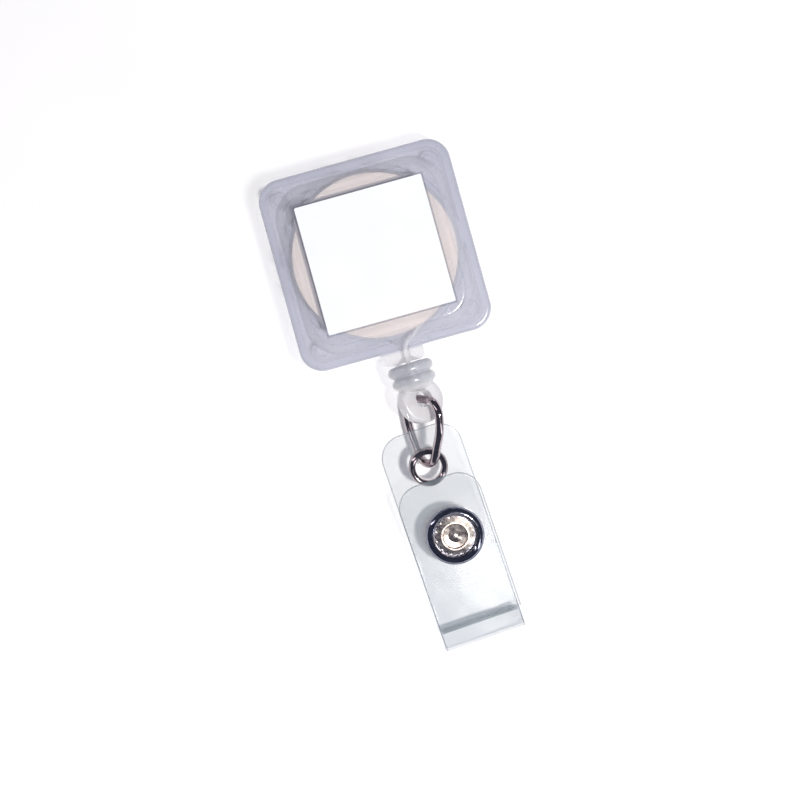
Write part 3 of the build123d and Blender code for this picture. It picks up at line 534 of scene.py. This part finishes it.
def sheet(name, outline, holes, place, far_cut, near_cut):
    """Sheet with round rims, drawn flat, cut into strips and laid along the strap."""
    curve = bpy.data.curves.new(name, "CURVE")
    curve.dimensions = "2D"
    curve.fill_mode = "BOTH"
    curve.extrude = HALF_SHEET - RIM_ROUND
    curve.bevel_depth = RIM_ROUND
    curve.bevel_resolution = 3
    curve.offset = -RIM_ROUND
    for loop in [outline, *holes]:
        spline = curve.splines.new("POLY")
        spline.points.add(len(loop) - 1)
        for point, (x, y) in zip(spline.points, loop):
            point.co = (x, y, 0, 1)
        spline.use_cyclic_u = True
    holder = bpy.data.objects.new(name, curve)
    scene.collection.objects.link(holder)
    depsgraph = bpy.context.evaluated_depsgraph_get()
    flat = bpy.data.meshes.new_from_object(holder.evaluated_get(depsgraph))
    bm = bmesh.new()
    bm.from_mesh(flat)
    bpy.data.objects.remove(holder)
    bpy.data.curves.remove(curve)
    bpy.data.meshes.remove(flat)
    bmesh.ops.remove_doubles(bm, verts=bm.verts, dist=1e-4)
    bm.normal_update()
    for face in bm.faces:
        # Faces off the flat, the round rims, take the second material, the darker rim copy: painted
        # shade along the sheet's edges.
        face.material_index = 1 if abs(face.normal.z) < FLAT_NORMAL else 0
    if far_cut is not None:
        cut_across(bm, (0, far_cut, 0), (0, -1, 0), cap=True)
    low = min(v.co.y for v in bm.verts)
    high = max(v.co.y for v in bm.verts)
    at = high - FIRST_CUT
    while at > low + LAST_CUT:
        cut_across(bm, (0, at, 0), (0, 1, 0))
        at -= near_cut(at)
    for k in range(-SIDE_CUTS, SIDE_CUTS + 1):
        cut_across(bm, (k * SIDE_STEP + SIDE_SHIFT, 0, 0), (1, 0, 0))
    for vert in bm.verts:
        u, along, depth = vert.co
        v, w = place(along, depth + waviness(u, along))
        vert.co = strap_point(u, v, w)
    made = add_mesh(name, bm, vinyl)
    made.data.materials.append(vinyl_rim_painted_shade)
    weigh = made.modifiers.new("even normals", "WEIGHTED_NORMAL")
    weigh.keep_sharp = False
    return made


def strip_outline(left, width, top, bottom):
    """Long strip with two round corners at its top."""
    right = left + width
    corners = arc((right - CORNER, top - CORNER), CORNER, 0, 90, CORNER_STEPS)
    corners += arc((left + CORNER, top - CORNER), CORNER, 90, 180, CORNER_STEPS)
    return [(left, bottom), (right, bottom), *corners]


def fold_step(at):
    """Distance to the next cut: short round the hem, longer on the bow and the flat."""
    if at >= HEM_AT + NEAR_HEM:
        return FLAT_STEP
    if at > HEM_AT - HEM_LENGTH - NEAR_HEM:
        return HEM_STEP
    return BOW_STEP


BACK_END = HEM_AT - HEM_LENGTH - BOW_LENGTH
back_sheet = sheet(
    "strap_back_sheet",
    strip_outline(STRAP_LEFT, BACK_WIDTH, BACK_TOP, BACK_END - OVERRUN),
    [hole((0, 0), EYELET_BORE, 48), hole(SNAP_AT, SNAP_BORE, 36)],
    folded,
    BACK_END,
    fold_step,
)
flap_sheet = sheet(
    "strap_flap_sheet",
    strip_outline(STRAP_LEFT, FLAP_WIDTH, FLAP_TOP, CREASE_AT - OVERRUN),
    [hole(SNAP_AT, SNAP_BORE, 36)],
    raised,
    CREASE_AT,
    lambda at: FLAT_STEP,
)
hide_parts("strap_back")
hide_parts("strap_flap")
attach(back_sheet, "strap")
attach(flap_sheet, "flap")

# thin skin laid across the crease, from the back sheet's bow onto the flap
WEB_HALF = 0.5
WEB_STEPS = 12
WEB_SKIN = (0.235, 0.15)
WEB_INSET = 0.3
bm = bmesh.new()
rows = []
for k in range(WEB_STEPS + 1):
    off = WEB_HALF * (2 * k / WEB_STEPS - 1)
    row = []
    for u in (STRAP_LEFT + WEB_INSET, STRAP_LEFT + BACK_WIDTH - WEB_INSET):
        for depth in WEB_SKIN:
            if off < 0:
                v, w = folded(BACK_END - off, -depth)
            else:
                v, w = raised(CREASE_AT + off, -depth)
            row.append(bm.verts.new(strap_point(u, v, w)))
    rows.append([row[0], row[2], row[3], row[1]])
for near, far in zip(rows, rows[1:]):
    for k in range(4):
        bm.faces.new((near[k], near[(k + 1) % 4], far[(k + 1) % 4], far[k]))
bm.faces.new(rows[0][::-1])
bm.faces.new(rows[-1])
web = add_mesh("crease_web", bm, vinyl)
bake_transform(web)

# ---- cord: one braided tube from the winding to the knot ---------------------------------
CORD_R = 0.4
CORD_Z = 7.3
CORD_X = 0.6
TANGENT_R = 13.5
CORNER_Y = -16.4
BEND_R = 2.5
PART_Y = -17.9
PIVOT_Y = -19.2
KNOT_DEPTH = 3.4
KNOT_OVERLAP = 0.5
LEAD_YAW = math.radians(2.5)
SIDES = 16
RUN_STEPS = 16
BEND_STEPS = 16
GUIDE_STEPS = 4
STRETCH_STEPS = 60
LEAD_STEPS = 8

corner_angle = math.atan2(CORNER_Y, CORD_X)
start_angle = corner_angle + math.acos(TANGENT_R / math.hypot(CORD_X, CORNER_Y))
drum_point = Vector((TANGENT_R * math.cos(start_angle), TANGENT_R * math.sin(start_angle)))
corner = Vector((CORD_X, CORNER_Y))
inward = (corner - drum_point).normalized()
down = Vector((0, -1))
turn = math.acos(max(-1.0, min(1.0, inward.dot(down))))
setback = BEND_R * math.tan(turn / 2)
bend_in = corner - inward * setback
side = 1 if inward.x > 0 else -1
bend_centre = corner + down * setback - Vector((side * BEND_R, 0))
route = [drum_point.lerp(bend_in, k / RUN_STEPS) for k in range(RUN_STEPS)]
first_angle = math.atan2(bend_in.y - bend_centre.y, bend_in.x - bend_centre.x)
for k in range(BEND_STEPS + 1):
    angle = first_angle - side * turn * k / BEND_STEPS
    route.append(bend_centre + BEND_R * Vector((math.cos(angle), math.sin(angle))))
bend_out_y = route[-1].y
for k in range(1, GUIDE_STEPS + 1):
    route.append(Vector((CORD_X, bend_out_y + (PART_Y - bend_out_y) * k / GUIDE_STEPS)))
for k in range(1, STRETCH_STEPS + 1):
    route.append(Vector((CORD_X, PART_Y + (PIVOT_Y - PART_Y) * k / STRETCH_STEPS)))
lead_down = Vector((math.sin(LEAD_YAW), -math.cos(LEAD_YAW)))
for k in range(1, LEAD_STEPS + 1):
    reach = (KNOT_DEPTH - KNOT_OVERLAP) * k / LEAD_STEPS
    route.append(Vector((CORD_X, PIVOT_Y)) + lead_down * reach)

bm = bmesh.new()
rings = []
for k, at in enumerate(route):
    before = route[max(0, k - 1)]
    after = route[min(len(route) - 1, k + 1)]
    ahead = (after - before).normalized()
    across = Vector((ahead.y, -ahead.x))
    ring = []
    for j in range(SIDES):
        spin = 2 * math.pi * j / SIDES
        flat = at + across * CORD_R * math.cos(spin)
        ring.append(bm.verts.new(Vector((flat.x, flat.y, CORD_Z + CORD_R * math.sin(spin))) * MM))
    rings.append(ring)
for near, far in zip(rings, rings[1:]):
    for j in range(SIDES):
        bm.faces.new((near[j], near[(j + 1) % SIDES], far[(j + 1) % SIDES], far[j]))
bm.faces.new(rings[0][::-1])
bm.faces.new(rings[-1])
cord = add_mesh("cord_strand", bm, cord_braid)
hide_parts("cord_guide_run", "cord_lead")
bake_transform(cord)

# ---- floor -------------------------------------------------------------------------------
FLOOR_SIDE = 3.0
FLOOR_DROP = 0.05 * MM
floor_mesh = bpy.data.meshes.new("floor")
half = FLOOR_SIDE / 2
floor_mesh.from_pydata(
    [(-half, -half, 0), (half, -half, 0), (half, half, 0), (-half, half, 0)],
    [],
    [(0, 1, 2, 3)],
)
floor = bpy.data.objects.new("floor", floor_mesh)
scene.collection.objects.link(floor)
floor.location.z = cad_low.z - FLOOR_DROP
floor_look = Shader("floor_white")
tooth = floor_look.noise(0.05, 3.0, 0.5)
floor_haze = floor_look.add(
    "ShaderNodeBsdfPrincipled",
    {
        "Base Color": floor_look.colours(
            tooth, ((0.3, (0.93, 0.93, 0.94)), (0.7, (0.95, 0.95, 0.955)))
        ),
        "Roughness": 0.8,
        "Specular IOR Level": 0.1,
        "Emission Color": (1.0, 1.0, 1.0, 1.0),
        "Emission Strength": 0.125,
    },
)
floor_mesh.materials.append(floor_look.finish(floor_haze.outputs[0]))
